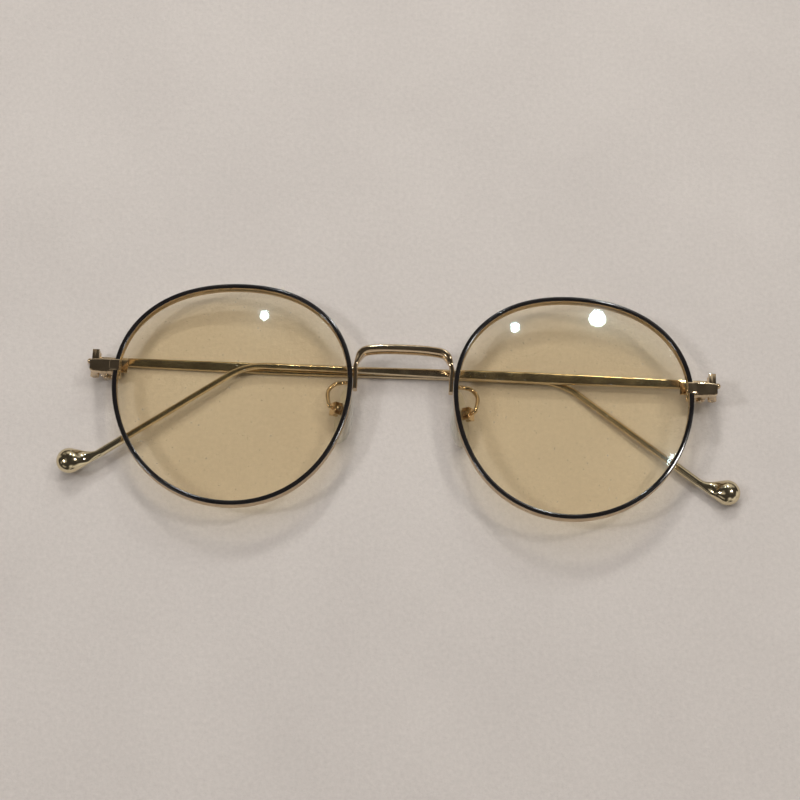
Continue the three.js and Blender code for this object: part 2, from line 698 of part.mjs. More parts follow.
// The arm's wire leaves the back of the rim, swings up round a loop and comes down to the pad's box.
function padArmGeometry() {
  const rootAngle = Math.PI - ARM_ROOT_Y / RIM_RADIUS;
  const root = rimPoint(rootAngle).addScaledVector(rimOutward(rootAngle), -RIM_FACE / 2);
  const fromRoot = (x, y, z) => new THREE.Vector3(root.x + x, root.y + y, z);
  const boxBack = PAD_PIVOT.clone().addScaledVector(padZ, -BOX_HALF.z - 5 * SOLDER_GAP);
  const along = [
    fromRoot(0, 0, -RIM_DEPTH - 3 * SOLDER_GAP),
    fromRoot(0.05, 0.1, -RIM_DEPTH - 0.8),
    fromRoot(1.3, 0.7, ARM_LOOP_Z),
    fromRoot(3.3, 0.3, ARM_LOOP_Z - 0.2),
    fromRoot(4.6, -1.7, ARM_LOOP_Z + 0.4),
    boxBack.clone().addScaledVector(padZ, -0.7).add(new THREE.Vector3(0.1, 0.7, 0)),
    boxBack,
  ];
  const shape = new THREE.Shape().absarc(0, 0, ARM_RADIUS, 0, 2 * Math.PI);
  return new THREE.ExtrudeGeometry(shape, {
    steps: 22,
    curveSegments: 4,
    bevelEnabled: false,
    extrudePath: new THREE.CatmullRomCurve3(along, false, "centripetal"),
  });
}

// ---- assembly, in the front's own frame: the rims' front faces lie in z = 0 ----

const glasses = new THREE.Group();
glasses.name = "glasses";
const front = new THREE.Group();
front.name = "front";
glasses.add(front);

addMesh(front, "bridge", bridgeGeometry(), GOLD);

for (const [word, side] of [
  ["left", 1],
  ["right", -1],
]) {
  const place = (parent, name, geometry, look) => addMesh(parent, `${word}_${name}`, forSide(geometry, side), look);
  place(front, "rim", rimGeometry(), LACQUER);
  place(front, "lens", lensGeometry(), TINT);
  place(front, "endpiece", endpieceGeometry(), GOLD);
  place(front, "lock_upper", lockGeometry(true), GOLD);
  place(front, "lock_lower", lockGeometry(false), GOLD);
  const lockScrew = screwGeometry(
    LOCK_SCREW_RADIUS,
    SPLIT_Y - ENDPIECE_HALF_HEIGHT,
    SPLIT_Y + ENDPIECE_HALF_HEIGHT,
    LOCK_HEAD_RADIUS,
    PIN_HEAD_HEIGHT,
    false,
  ).translate(LOCK_SCREW_X, -SOLDER_GAP, (LOCK_BACK_Z - RIM_DEPTH) / 2);
  place(front, "lock_screw", lockScrew, STEEL);

  const hinge = new THREE.Group();
  hinge.position.set(side * HINGE_X, HINGE_Y, HINGE_Z);
  front.add(hinge);
  place(hinge, "hinge_front_leaf", frontLeafGeometry(), GOLD);
  const pin = screwGeometry(
    PIN_RADIUS,
    -KNUCKLE_HALF_STACK,
    KNUCKLE_HALF_STACK + SOLDER_GAP,
    PIN_HEAD_RADIUS,
    PIN_HEAD_HEIGHT,
    true,
  );
  place(hinge, "hinge_screw", pin, STEEL);

  // The left temple is folded first, so it lies nearer the lenses than the right one.
  const temple = new THREE.Group();
  temple.position.copy(hinge.position);
  temple.rotation.y = FOLD_LEAN_DEG * DEG;
  glasses.add(temple);
  place(temple, "hinge_temple_leaf", templeLeafGeometry(), GOLD);
  place(temple, "temple", templeGeometry(), GOLD);
  place(temple, "stud", studGeometry(), GOLD);
  place(temple, "temple_tip", tipGeometry(), GOLD);

  place(front, "pad_arm", padArmGeometry(), GOLD);
  place(front, "pad_box", padBoxGeometry().applyMatrix4(padTurn), GOLD);
  place(front, "pad_screw", padScrewGeometry().applyMatrix4(padTurn), STEEL);
  place(glasses, "pad_insert", padInsertGeometry().applyMatrix4(padTurn), STEEL);
  place(glasses, "nose_pad", padGeometry().applyMatrix4(padTurn), SILICONE);
}

// The lower temple rests on its root, on the start of its bend and on its ball: the three points
// give the surface's slope in the front's frame, and the whole is turned to lay them level.
function lowestOf(name, lowX, highX) {
  const mesh = glasses.getObjectByName(name);
  glasses.updateMatrixWorld(true);
  const positions = mesh.geometry.attributes.position;
  const found = new THREE.Vector3(0, 0, Infinity);
  for (let i = 0; i < positions.count; i++) {
    const p = new THREE.Vector3().fromBufferAttribute(positions, i).applyMatrix4(mesh.matrixWorld);
    if (p.x >= lowX && p.x <= highX && p.z < found.z) {
      found.copy(p);
    }
  }
  return found;
}

const root = lowestOf("right_temple", -Infinity, -60);
const bend = lowestOf("right_temple", 20, 30);
const ball = lowestOf("right_temple_tip", 60, Infinity);
const normal = bend.clone().sub(root).cross(ball.clone().sub(root)).normalize();
if (normal.z < 0) {
  normal.negate();
}
glasses.quaternion.setFromUnitVectors(normal, new THREE.Vector3(0, 0, 1));
const box = new THREE.Box3().setFromObject(glasses, true);
glasses.position.set(-(box.min.x + box.max.x) / 2, -(box.min.y + box.max.y) / 2, -box.min.z);

const part = new THREE.Group();
part.add(glasses);
export default part;
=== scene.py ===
import json
import math
import bpy
from mathutils import Matrix, Vector


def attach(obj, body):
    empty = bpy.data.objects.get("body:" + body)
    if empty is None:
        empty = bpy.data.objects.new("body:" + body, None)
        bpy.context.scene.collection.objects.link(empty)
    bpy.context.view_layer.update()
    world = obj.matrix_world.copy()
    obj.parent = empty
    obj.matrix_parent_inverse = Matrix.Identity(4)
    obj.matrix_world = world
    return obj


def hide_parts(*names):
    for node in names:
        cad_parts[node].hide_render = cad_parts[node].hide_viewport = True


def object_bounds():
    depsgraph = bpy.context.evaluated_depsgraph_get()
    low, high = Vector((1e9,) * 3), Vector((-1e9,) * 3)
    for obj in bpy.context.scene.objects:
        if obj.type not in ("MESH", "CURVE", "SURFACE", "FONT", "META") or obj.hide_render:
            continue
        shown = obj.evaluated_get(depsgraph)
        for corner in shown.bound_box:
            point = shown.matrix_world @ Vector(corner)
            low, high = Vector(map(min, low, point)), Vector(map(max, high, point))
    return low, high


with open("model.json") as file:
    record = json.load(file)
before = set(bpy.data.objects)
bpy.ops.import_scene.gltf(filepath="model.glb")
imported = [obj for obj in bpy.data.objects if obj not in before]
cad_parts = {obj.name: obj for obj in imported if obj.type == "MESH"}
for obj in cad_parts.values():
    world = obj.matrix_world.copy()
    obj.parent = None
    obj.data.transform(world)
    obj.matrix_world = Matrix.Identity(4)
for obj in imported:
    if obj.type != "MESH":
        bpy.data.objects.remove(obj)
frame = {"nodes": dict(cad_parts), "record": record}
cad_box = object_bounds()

# Mesh code works in millimetres in the front's own frame: +X to the wearer's left,
# +Y to the top, and the rims' front faces at z = 0. FRONT takes that frame to metres.
MM = 0.001

# ---------------------------------------------------------------- the front's own frame
JOINTS = {j["name"]: j for j in frame["record"]["behaviour"]["joints"]}
HINGE = Vector((64.9, 6.4, -4.0))
left_pivot = Vector(JOINTS["left_temple_hinge"]["pos_m"])
right_pivot = Vector(JOINTS["right_temple_hinge"]["pos_m"])
axis_x = (left_pivot - right_pivot).normalized()
axis_y = Vector(JOINTS["right_temple_hinge"]["axis"])
axis_z = axis_x.cross(axis_y).normalized()
axis_y = axis_z.cross(axis_x)
origin = (left_pivot + right_pivot) / 2 - axis_y * HINGE.y * MM - axis_z * HINGE.z * MM
FRONT = Matrix((axis_x, axis_y, axis_z)).transposed().to_4x4()
FRONT.translation = origin
FRONT = FRONT @ Matrix.Scale(MM, 4)
FOLD_LEAN = math.radians(0.75)


def temple_frame(side):
    place = Matrix.Translation((side * HINGE.x, HINGE.y, HINGE.z))
    return FRONT @ place @ Matrix.Rotation(FOLD_LEAN, 4, "Y")


# ---------------------------------------------------------------- node helpers
def new_material(name):
    m = bpy.data.materials.new(name)
    m.use_nodes = True
    m.node_tree.nodes.clear()
    return m, m.node_tree.nodes, m.node_tree.links


def add(nodes, kind, **values):
    n = nodes.new(kind)
    for key, value in values.items():
        if key in n.inputs:
            n.inputs[key].default_value = value
        else:
            setattr(n, key, value)
    return n


def object_coords(nodes):
    return nodes.new("ShaderNodeTexCoord").outputs["Object"]


def noise(nodes, links, scale, detail=4.0, stretch=(1, 1, 1), roughness=0.5):
    mapping = add(nodes, "ShaderNodeMapping")
    mapping.inputs["Scale"].default_value = stretch
    links.new(object_coords(nodes), mapping.inputs["Vector"])
    n = add(nodes, "ShaderNodeTexNoise", Scale=scale, Detail=detail, Roughness=roughness)
    links.new(mapping.outputs[0], n.inputs["Vector"])
    return n.outputs["Fac"]


def ramp(nodes, links, source, stops):
    r = nodes.new("ShaderNodeValToRGB")
    while len(r.color_ramp.elements) < len(stops):
        r.color_ramp.elements.new(0.5)
    for element, (at, colour) in zip(r.color_ramp.elements, stops):
        element.position = at
        element.color = colour if len(colour) == 4 else (*colour, 1)
    links.new(source, r.inputs[0])
    return r.outputs["Color"]


def grey(v):
    return (v, v, v, 1)


def mottle(nodes, links, scale, detail, low, high, roughness=0.5):
    """Noise run through two colour stops, each given as (place, colour)."""
    source = noise(nodes, links, scale, detail, roughness=roughness)
    return ramp(nodes, links, source, [low, high])


def bump_up(nodes, links, bsdf, strength, distance, height):
    bump = add(nodes, "ShaderNodeBump", Strength=strength, Distance=distance)
    links.new(height, bump.inputs["Height"])
    links.new(bump.outputs[0], bsdf.inputs["Normal"])


def mix_shaders(nodes, links, share, first, second):
    mix = nodes.new("ShaderNodeMixShader")
    if isinstance(share, float):
        mix.inputs[0].default_value = share
    else:
        links.new(share, mix.inputs[0])
    links.new(first.outputs[0], mix.inputs[1])
    links.new(second.outputs[0], mix.inputs[2])
    return mix


POLISH_DEPTH = 0.00002
HAIRLINE_STRETCH = (0.08, 1, 1)


def metal_material(name, base, worn, rough, scratch):
    """Polished plate with drifting colour, fine hairlines along the part and uneven roughness."""
    m, nodes, links = new_material(name)
    bsdf = add(nodes, "ShaderNodeBsdfPrincipled", Metallic=1.0)
    out = nodes.new("ShaderNodeOutputMaterial")
    colour = mottle(nodes, links, 240, 3, (0.35, base), (0.75, worn))
    links.new(colour, bsdf.inputs["Base Color"])
    smear = mottle(nodes, links, 420, 5, (0.3, grey(rough * 0.7)), (0.75, grey(rough * 1.6)))
    links.new(smear, bsdf.inputs["Roughness"])
    hairlines = noise(nodes, links, 900, 2, HAIRLINE_STRETCH)
    bump_up(nodes, links, bsdf, scratch, POLISH_DEPTH, hairlines)
    links.new(bsdf.outputs[0], out.inputs[0])
    return m


gold = metal_material("pale_gold_plate", (0.76, 0.61, 0.42), (0.64, 0.49, 0.31), 0.12, 0.12)
bar_gold = metal_material("temple_gold_plate", (0.74, 0.62, 0.43), (0.58, 0.46, 0.29), 0.16, 0.35)
tip_gold = metal_material("tip_gold_plate", (0.76, 0.67, 0.47), (0.66, 0.56, 0.36), 0.12, 0.1)
# The rim's walls, groove and back use a darker, rougher copy of the gold plating; the darker colour is
# painted shade.
wall_painted_shade_gold = metal_material("rim_wall_painted_shade_gold", (0.60, 0.46, 0.30), (0.50, 0.37, 0.23), 0.34, 0.1)
screw = metal_material("screw_metal", (0.62, 0.52, 0.38), (0.45, 0.36, 0.25), 0.25, 0.3)


def lacquer_material():
    m, nodes, links = new_material("gloss_black_lacquer")
    bsdf = add(nodes, "ShaderNodeBsdfPrincipled", Metallic=0.0)
    bsdf.inputs["Coat Weight"].default_value = 1.0
    bsdf.inputs["Coat Roughness"].default_value = 0.04
    out = nodes.new("ShaderNodeOutputMaterial")
    black, warm_black = (0.004, 0.004, 0.005), (0.012, 0.009, 0.008)
    tint = mottle(nodes, links, 500, 3, (0.3, black), (0.8, warm_black))
    links.new(tint, bsdf.inputs["Base Color"])
    smear = mottle(nodes, links, 350, 5, (0.3, grey(0.1)), (0.8, grey(0.22)))
    links.new(smear, bsdf.inputs["Roughness"])
    bump_up(nodes, links, bsdf, 0.15, POLISH_DEPTH, noise(nodes, links, 260, 2))
    links.new(bsdf.outputs[0], out.inputs[0])
    return m


REFLECTION_LIMIT = 0.07
HAZE_SHARE = 0.14


def lens_material():
    """Amber tint on clear plastic, with a cool reflection from the coating, and a little dust."""
    m, nodes, links = new_material("amber_coated_lens")
    out = nodes.new("ShaderNodeOutputMaterial")
    see = nodes.new("ShaderNodeBsdfTransparent")
    amber, pale_amber = (0.986, 0.939, 0.838), (0.991, 0.949, 0.853)
    tint = mottle(nodes, links, 60, 2, (0.3, amber), (0.75, pale_amber))
    links.new(tint, see.inputs["Color"])
    shine = add(nodes, "ShaderNodeBsdfGlossy", Roughness=0.035)
    shine.inputs["Color"].default_value = (0.62, 0.86, 1.0, 1)
    edge = add(nodes, "ShaderNodeFresnel", IOR=1.42)
    haze = add(nodes, "ShaderNodeBsdfGlossy", Roughness=0.24)
    haze.inputs["Color"].default_value = (0.45, 0.8, 1.0, 1)
    sheen = mix_shaders(nodes, links, HAZE_SHARE, shine, haze)
    limit = add(nodes, "ShaderNodeMath", operation="MINIMUM")
    limit.inputs[1].default_value = REFLECTION_LIMIT
    links.new(edge.outputs[0], limit.inputs[0])
    clean = mix_shaders(nodes, links, limit.outputs[0], see, sheen)
    dust = add(nodes, "ShaderNodeBsdfDiffuse", Roughness=1.0)
    dust.inputs["Color"].default_value = (0.8, 0.78, 0.74, 1)
    specks = mottle(nodes, links, 1500, 1, (0.74, grey(0.0)), (0.80, grey(0.35)))
    dusty = mix_shaders(nodes, links, specks, clean, dust)
    links.new(dusty.outputs[0], out.inputs[0])
    return m


def silicone_material():
    """Clear silicone: see-through face on, milky where its surface turns away."""
    m, nodes, links = new_material("clear_silicone")
    out = nodes.new("ShaderNodeOutputMaterial")
    body = add(nodes, "ShaderNodeBsdfPrincipled", Roughness=0.28)
    body.inputs["Coat Weight"].default_value = 0.4
    tint = mottle(nodes, links, 300, 3, (0.3, (0.74, 0.72, 0.68)), (0.8, (0.62, 0.59, 0.53)))
    links.new(tint, body.inputs["Base Color"])
    see = nodes.new("ShaderNodeBsdfTransparent")
    see.inputs["Color"].default_value = (0.93, 0.92, 0.89, 1)
    facing = add(nodes, "ShaderNodeLayerWeight", Blend=0.35)
    amount = ramp(nodes, links, facing.outputs["Facing"], [(0.0, grey(0.34)), (0.9, grey(0.9))])
    mix = mix_shaders(nodes, links, amount, see, body)
    links.new(mix.outputs[0], out.inputs[0])
    return m


FIBRE_ROUGHNESS = 0.7


def paper_material():
    m, nodes, links = new_material("grey_card")
    out = nodes.new("ShaderNodeOutputMaterial")
    bsdf = add(nodes, "ShaderNodeBsdfPrincipled", Roughness=0.95)
    dark, light = (0.585, 0.54, 0.505), (0.625, 0.578, 0.54)
    tint = mottle(nodes, links, 30, 6, (0.3, dark), (0.7, light))
    fibres = mottle(nodes, links, 1100, 6, (0.3, grey(0.88)), (0.7, grey(1.0)), FIBRE_ROUGHNESS)
    blend = add(nodes, "ShaderNodeMixRGB", blend_type="MULTIPLY")
    blend.inputs[0].default_value = 1.0
    links.new(tint, blend.inputs[1])
    links.new(fibres, blend.inputs[2])
    links.new(blend.outputs[0], bsdf.inputs["Base Color"])
    bump_up(nodes, links, bsdf, 0.6, 0.0003, noise(nodes, links, 700, 8, roughness=FIBRE_ROUGHNESS))
    links.new(bsdf.outputs[0], out.inputs[0])
    return m


lacquer = lacquer_material()
lens_look = lens_material()
silicone = silicone_material()


# ---------------------------------------------------------------- mesh helpers
def finish_mesh(name, verts, faces, matrix, body, node, materials, face_slots=None, sharp=35):
    """One smooth piece that rides on a body and stands in for a CAD node."""
    mesh = bpy.data.meshes.new(name)
    mesh.from_pydata([matrix @ v for v in verts], [], faces)
    for m in materials:
        mesh.materials.append(m)
    if face_slots:
        for polygon, index in zip(mesh.polygons, face_slots):
            polygon.material_index = index
    mesh.shade_smooth()
    mesh.set_sharp_from_angle(angle=math.radians(sharp))
    mesh.validate()
    obj = bpy.data.objects.new(name, mesh)
    bpy.context.scene.collection.objects.link(obj)
    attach(obj, body)
    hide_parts(node)


def loft(stations, closed=False):
    """Vertices and faces through a row of outlines: each station is (origin, side, up, points)."""
    count = len(stations[0][3])
    verts = [o + side * p[0] + up * p[1] for o, side, up, points in stations for p in points]
    faces = []
    total = len(stations)
    for i in range(total if closed else total - 1):
        a, b = i * count, ((i + 1) % total) * count
        for j in range(count):
            k = (j + 1) % count
            faces.append((a + j, a + k, b + k, b + j))
    if not closed:
        faces.append(tuple(range(count - 1, -1, -1)))
        end = (total - 1) * count
        faces.append(tuple(range(end, end + count)))
    return verts, faces


def rounded(half_x, half_y, power, count=28):
    """An outline between an ellipse (power 2) and a rectangle (high power)."""
    points = []
    for i in range(count):
        a = (i + 0.5) / count * 2 * math.pi
        c, s = math.cos(a), math.sin(a)
        points.append(
            (
                math.copysign(half_x * abs(c) ** (2 / power), c),
                math.copysign(half_y * abs(s) ** (2 / power), s),
            )
        )
    return points


def mirror(verts, faces, side):
    if side > 0:
        return verts, faces
    return [Vector((-v.x, v.y, v.z)) for v in verts], [tuple(reversed(f)) for f in faces]


def lerp(a, b, t):
    return a + (b - a) * t


def smoothstep(x, low, high):
    t = min(1.0, max(0.0, (x - low) / (high - low)))
    return t * t * (3 - 2 * t)


CURVE_STEPS = 40


def catmull(points, samples):
    """A smooth curve through points, evenly sampled."""
    fine = []
    ends = [points[0] * 2 - points[1], *points, points[-1] * 2 - points[-2]]
    for i in range(1, len(ends) - 2):
        p0, p1, p2, p3 = ends[i - 1 : i + 3]
        for k in range(CURVE_STEPS):
            t = k / CURVE_STEPS
            fine.append(
                (
                    p1 * 2
                    + (p2 - p0) * t
                    + (p0 * 2 - p1 * 5 + p2 * 4 - p3) * t * t
                    + (p1 * 3 - p0 - p2 * 3 + p3) * t**3
                )
                / 2
            )
    fine.append(points[-1])
    lengths = [0.0]
    for a, b in zip(fine, fine[1:]):
        lengths.append(lengths[-1] + (b - a).length)
    out, i = [], 0
    for k in range(samples):
        want = lengths[-1] * k / (samples - 1)
        while i < len(fine) - 2 and lengths[i + 1] < want:
            i += 1
        span = max(1e-9, lengths[i + 1] - lengths[i])
        out.append(fine[i].lerp(fine[i + 1], min(1.0, max(0.0, (want - lengths[i]) / span))))
    return out


def flat_stations(points, outline_at):
    """Stations along a curve that stays in one plane of constant z."""
    up = Vector((0, 0, 1))
    stations = []
    for i, p in enumerate(points):
        along = (points[min(i + 1, len(points) - 1)] - points[max(i - 1, 0)]).normalized()
        stations.append((p, up.cross(along).normalized(), up, outline_at(i, p)))
    return stations


def tube(points, radius, count=16):
    """Round stations along a curve in space, carried on without twist."""
    angles = [k / count * 2 * math.pi for k in range(count)]
    ring = [(radius * math.cos(a), radius * math.sin(a)) for a in angles]
    stations = []
    side = Vector((1, 0, 0))
    for i, p in enumerate(points):
        along = (points[min(i + 1, len(points) - 1)] - points[max(i - 1, 0)]).normalized()
        side = (side - along * side.dot(along)).normalized()
        stations.append((p, side, along.cross(side), ring))
    return stations


# ---------------------------------------------------------------- rims and lenses
RIM_X, RIM_R = 35.6, 25.05
RIM_FACE, RIM_DEPTH, RIM_CORNER = 1.0, 2.3, 0.22
FACE_DOME = 0.05
GROOVE_Z, GROOVE_HALF, GROOVE_DEPTH = -1.15, 0.4, 0.45
SPLIT_Y, SPLIT_GAP = 4.9, 0.4
RIM_STEPS = 240
LACQUER_EDGE_Z = -0.16
LENS_HALF, LENS_RISE, LENS_REACH = 0.75, 2.3, 24.0
LENS_CLEARANCE, BEVEL_CLEARANCE, BEVEL_HALF = 0.08, 0.16, 0.32
LENS_SIDES, LENS_RINGS = 160, 14


def rim_radius(a):
    """The rim's rounded, slightly squared outline, by angle from the end piece's side."""
    return (
        RIM_R
        + 0.6 * (math.sin(a) + math.sin(3 * a))
        + 0.15 * (math.cos(3 * a) - math.cos(a))
        + 0.1 * math.cos(2 * a)
        - 0.25 * math.cos(4 * a)
    )


def rim_point(a):
    r = rim_radius(a)
    return Vector((RIM_X + r * math.cos(a), r * math.sin(a), 0))


def rim_outward(a):
    along = (rim_point(a + 0.004) - rim_point(a - 0.004)).normalized()
    return Vector((along.y, -along.x, 0))


def rim_profile():
    """Outer wall, domed front face, groove and back, with small rounded corners."""
    points = []
    corner = RIM_CORNER
    for i in range(6):
        a = i / 5 * math.pi / 2
        points.append((-corner + corner * math.cos(a), -corner + corner * math.sin(a)))
    for i in range(1, 6):
        t = i / 6
        points.append((lerp(-corner, corner - RIM_FACE, t), FACE_DOME * math.sin(math.pi * t)))
    for i in range(6):
        a = math.pi / 2 + i / 5 * math.pi / 2
        points.append((corner - RIM_FACE + corner * math.cos(a), -corner + corner * math.sin(a)))
    points += [
        (-RIM_FACE, GROOVE_Z + GROOVE_HALF),
        (-RIM_FACE + GROOVE_DEPTH, GROOVE_Z),
        (-RIM_FACE, GROOVE_Z - GROOVE_HALF),
    ]
    for start, centre in ((math.pi, corner - RIM_FACE), (1.5 * math.pi, -corner)):
        for i in range(5):
            a = start + i / 4 * math.pi / 2
            points.append((centre + corner * math.cos(a), corner - RIM_DEPTH + corner * math.sin(a)))
    return points


def build_rim(side, word):
    up = Vector((0, 0, 1))
    profile = rim_profile()
    split = math.asin(SPLIT_Y / RIM_R)
    half = SPLIT_GAP / 2 / RIM_R
    stations = []
    for i in range(RIM_STEPS + 1):
        a = split + half + i / RIM_STEPS * 2 * (math.pi - half)
        stations.append((rim_point(a), rim_outward(a), up, profile))
    verts, faces = loft(stations)
    faces = [tuple(reversed(f)) for f in faces]
    # Front-face quads take the black lacquer; the rest of the rim takes the darker gold, which is
    # painted shade on the walls and back.
    slots = []
    for f in faces:
        z = sum(verts[i].z for i in f) / len(f)
        slots.append(0 if len(f) == 4 and z > LACQUER_EDGE_Z else 1)
    verts, faces = mirror(verts, faces, side)
    finish_mesh(
        f"{word}_rim_smooth", verts, faces, FRONT, "front", f"{word}_rim",
        [lacquer, wall_painted_shade_gold], slots, sharp=28,
    )


def build_lens(side, word):
    angles = [i / LENS_SIDES * 2 * math.pi for i in range(LENS_SIDES)]
    centre = Vector((RIM_X, 0, 0))
    rings = []

    def ring(inset, share, z):
        out = []
        for a in angles:
            p = rim_point(a) - rim_outward(a) * inset
            p = centre + (p - centre) * share
            p.z = z
            out.append(p)
        return out

    def dome(share, z):
        points = ring(flat, share, z)
        for p in points:
            p.z += LENS_RISE * (1 - ((p.x - RIM_X) ** 2 + p.y**2) / LENS_REACH**2)
        return points

    flat = RIM_FACE + LENS_CLEARANCE
    top, bottom = GROOVE_Z + LENS_HALF, GROOVE_Z - LENS_HALF
    for i in range(1, LENS_RINGS + 1):
        rings.append(dome(i / LENS_RINGS, top))
    rings.append(ring(flat, 1, GROOVE_Z + BEVEL_HALF))
    rings.append(ring(RIM_FACE - GROOVE_DEPTH + BEVEL_CLEARANCE, 1, GROOVE_Z))
    rings.append(ring(flat, 1, GROOVE_Z - BEVEL_HALF))
    for i in range(LENS_RINGS, 0, -1):
        rings.append(dome(i / LENS_RINGS, bottom))
    verts = [p for r in rings for p in r]
    n = len(angles)
    front = len(verts)
    verts.append(Vector((RIM_X, 0, top + LENS_RISE)))
    verts.append(Vector((RIM_X, 0, bottom + LENS_RISE)))
    faces = []
    for j in range(n):
        k = (j + 1) % n
        faces.append((front, j, k))
        for i in range(len(rings) - 1):
            a, b = i * n, (i + 1) * n
            faces.append((a + j, b + j, b + k, a + k))
        end = (len(rings) - 1) * n
        faces.append((front + 1, end + k, end + j))
    verts, faces = mirror(verts, faces, side)
    finish_mesh(
        f"{word}_lens_smooth", verts, faces, FRONT, "front", f"{word}_lens",
        [lens_look], sharp=40,
    )


# ---------------------------------------------------------------- bridge and end pieces
BRIDGE_Z, BRIDGE_TOP, BRIDGE_LEG_X = -1.2, 11.5, 10.0
BRIDGE_HALF, LEG_HALF = (0.80, 1.5), (0.46, 0.95)


def build_bridge():
    half = [(BRIDGE_LEG_X, 2.0), (BRIDGE_LEG_X, 5.0), (10.03, 7.6), (8.7, 10.5), (5.5, 11.3)]
    points = [Vector((-x, y, BRIDGE_Z)) for x, y in half] + [Vector((0, BRIDGE_TOP, BRIDGE_Z))]
    points += [Vector((x, y, BRIDGE_Z)) for x, y in reversed(half)]
    curve = catmull(points, 150)

    def outline(i, p):
        reach = abs(p.x) / BRIDGE_LEG_X
        slim = max(0, 1 - p.y / 10.5)
        leg = smoothstep(reach * 0.6 + slim * 2.2, 0.6, 1.2)
        half_x, half_y = (lerp(a, b, leg) for a, b in zip(BRIDGE_HALF, LEG_HALF))
        return rounded(half_x, half_y, 3.6)

    verts, faces = loft(flat_stations(curve, outline))
    finish_mesh("bridge_smooth", verts, faces, FRONT, "front", "bridge", [gold])


def join(parts):
    verts, faces = [], []
    for v, f in parts:
        start = len(verts)
        verts += v
        faces += [tuple(start + i for i in face) for face in f]
    return verts, faces


def build_endpiece(side, word):
    """A stepped block beside the rim, with a thin collar over the rim's face."""
    rim_x = RIM_X + math.sqrt(RIM_R**2 - SPLIT_Y**2)
    inner = rim_x + 0.45
    y, up = Vector((0, 1, 0)), Vector((0, 0, 1))
    spans = [
        (inner, 2.1, 1.38),
        (inner + 0.12, 2.3, 1.5),
        (inner + 2.55, 2.3, 1.5),
        (inner + 2.7, 2.15, 1.46),
        (inner + 3.0, 1.5, 1.4),
        (64.7, 1.5, 1.38),
        (65.25, 1.42, 1.22),
        (65.5, 1.2, 1.0),
    ]
    collar_spans = [
        (rim_x - 0.98, 1.05, 0.08),
        (rim_x - 0.85, 1.22, 0.16),
        (inner + 0.5, 1.25, 0.17),
        (inner + 0.75, 1.15, 0.1),
    ]
    body = loft([(Vector((x, SPLIT_Y, -d / 2)), y, up, rounded(h, d / 2, 9, 36)) for x, d, h in spans])
    collar = loft(
        [(Vector((x, SPLIT_Y, 0.02 + h)), y, up, rounded(w, h, 5)) for x, w, h in collar_spans]
    )
    verts, faces = mirror(*join([body, collar]), side)
    finish_mesh(
        f"{word}_endpiece_smooth", verts, faces, FRONT, "front", f"{word}_endpiece",
        [gold], sharp=30,
    )


# ---------------------------------------------------------------- temples and tips
BAR_DEPTH, BAR_Y = -2.2, 1.7
BAR_HALF, ROOT_HALF, WIRE_R, BAR_THIN = 1.15, 0.95, 0.7, 0.55
BAR_GROWN, WIRE_FROM = 34, 84
BEND_AT, BEND, BEND_R = 98.3, math.radians(36.2), 14
SLEEVE_AT = 30.1
TANGENT = BEND_R * math.tan(BEND / 2)
STRAIGHT = BEND_AT - TANGENT
ARC = BEND_R * BEND
SLEEVE = STRAIGHT + ARC + SLEEVE_AT - TANGENT


def temple_at(s):
    """The temple's centre line, by length from the hinge."""
    x, y = min(s, STRAIGHT), BAR_Y
    if s > STRAIGHT:
        turned = min(s - STRAIGHT, ARC) / BEND_R
        beyond = max(0.0, s - STRAIGHT - ARC)
        x += BEND_R * math.sin(turned) + math.cos(BEND) * beyond
        y -= BEND_R * (1 - math.cos(turned)) + math.sin(BEND) * beyond
    return Vector((x, y, BAR_DEPTH))


def build_temple(side, word):
    places = [-0.9, -0.8, -0.6] + [float(i) for i in range(int(STRAIGHT) + 1)]
    places += [STRAIGHT + i / 24 * ARC for i in range(25)]
    last = places[-1]
    places += [lerp(last, SLEEVE + 5.5, i / 12) for i in range(1, 13)]
    points = [temple_at(s) for s in places]

    def outline(i, p):
        s = places[i]
        grow, thin = smoothstep(s, 0, BAR_GROWN), smoothstep(s, BAR_GROWN, WIRE_FROM)
        ease = {0: 0.75, 1: 0.92}.get(i, 1.0)
        return rounded(
            lerp(lerp(ROOT_HALF, BAR_HALF, grow), WIRE_R, thin) * ease,
            lerp(BAR_THIN, WIRE_R, thin) * ease,
            lerp(5, 2, thin),
        )

    verts, faces = loft(flat_stations(points, outline))
    verts, faces = mirror(verts, faces, -side)
    finish_mesh(
        f"{word}_temple_smooth", verts, faces, temple_frame(side), f"{word}_temple_assembly",
        f"{word}_temple", [bar_gold],
    )


def hermite(t, y0, m0, y1, m1):
    return (
        y0 * (2 * t**3 - 3 * t * t + 1)
        + m0 * (t**3 - 2 * t * t + t)
        + y1 * (3 * t * t - 2 * t**3)
        + m1 * (t**3 - t * t)
    )


BALL_R, BALL_T, BALL_S, BALL_OFF = 2.7, 2.1, 11.8, 2.0
SLEEVE_R, SLEEVE_END, NECK_END = 0.9, 6.0, 9.9


def tip_edges(s):
    """Upper edge, lower edge and half thickness of a tip: sleeve, neck, then flattened ball."""
    chord = math.sqrt(max(0.0, BALL_R**2 - (s - BALL_S) ** 2))
    flat = BALL_T / BALL_R
    lower = lerp(-SLEEVE_R, BALL_OFF - BALL_R, s / BALL_S) if s < BALL_S else BALL_OFF - chord
    if s <= SLEEVE_END:
        return SLEEVE_R, -SLEEVE_R, SLEEVE_R
    if s >= NECK_END:
        return BALL_OFF + chord, lower, flat * chord
    run = NECK_END - SLEEVE_END
    end = math.sqrt(BALL_R**2 - (NECK_END - BALL_S) ** 2)
    rise = (BALL_S - NECK_END) / end * run
    t = (s - SLEEVE_END) / run
    return (
        hermite(t, SLEEVE_R, 0, BALL_OFF + end, rise),
        lower,
        hermite(t, SLEEVE_R, 0, flat * end, flat * rise),
    )


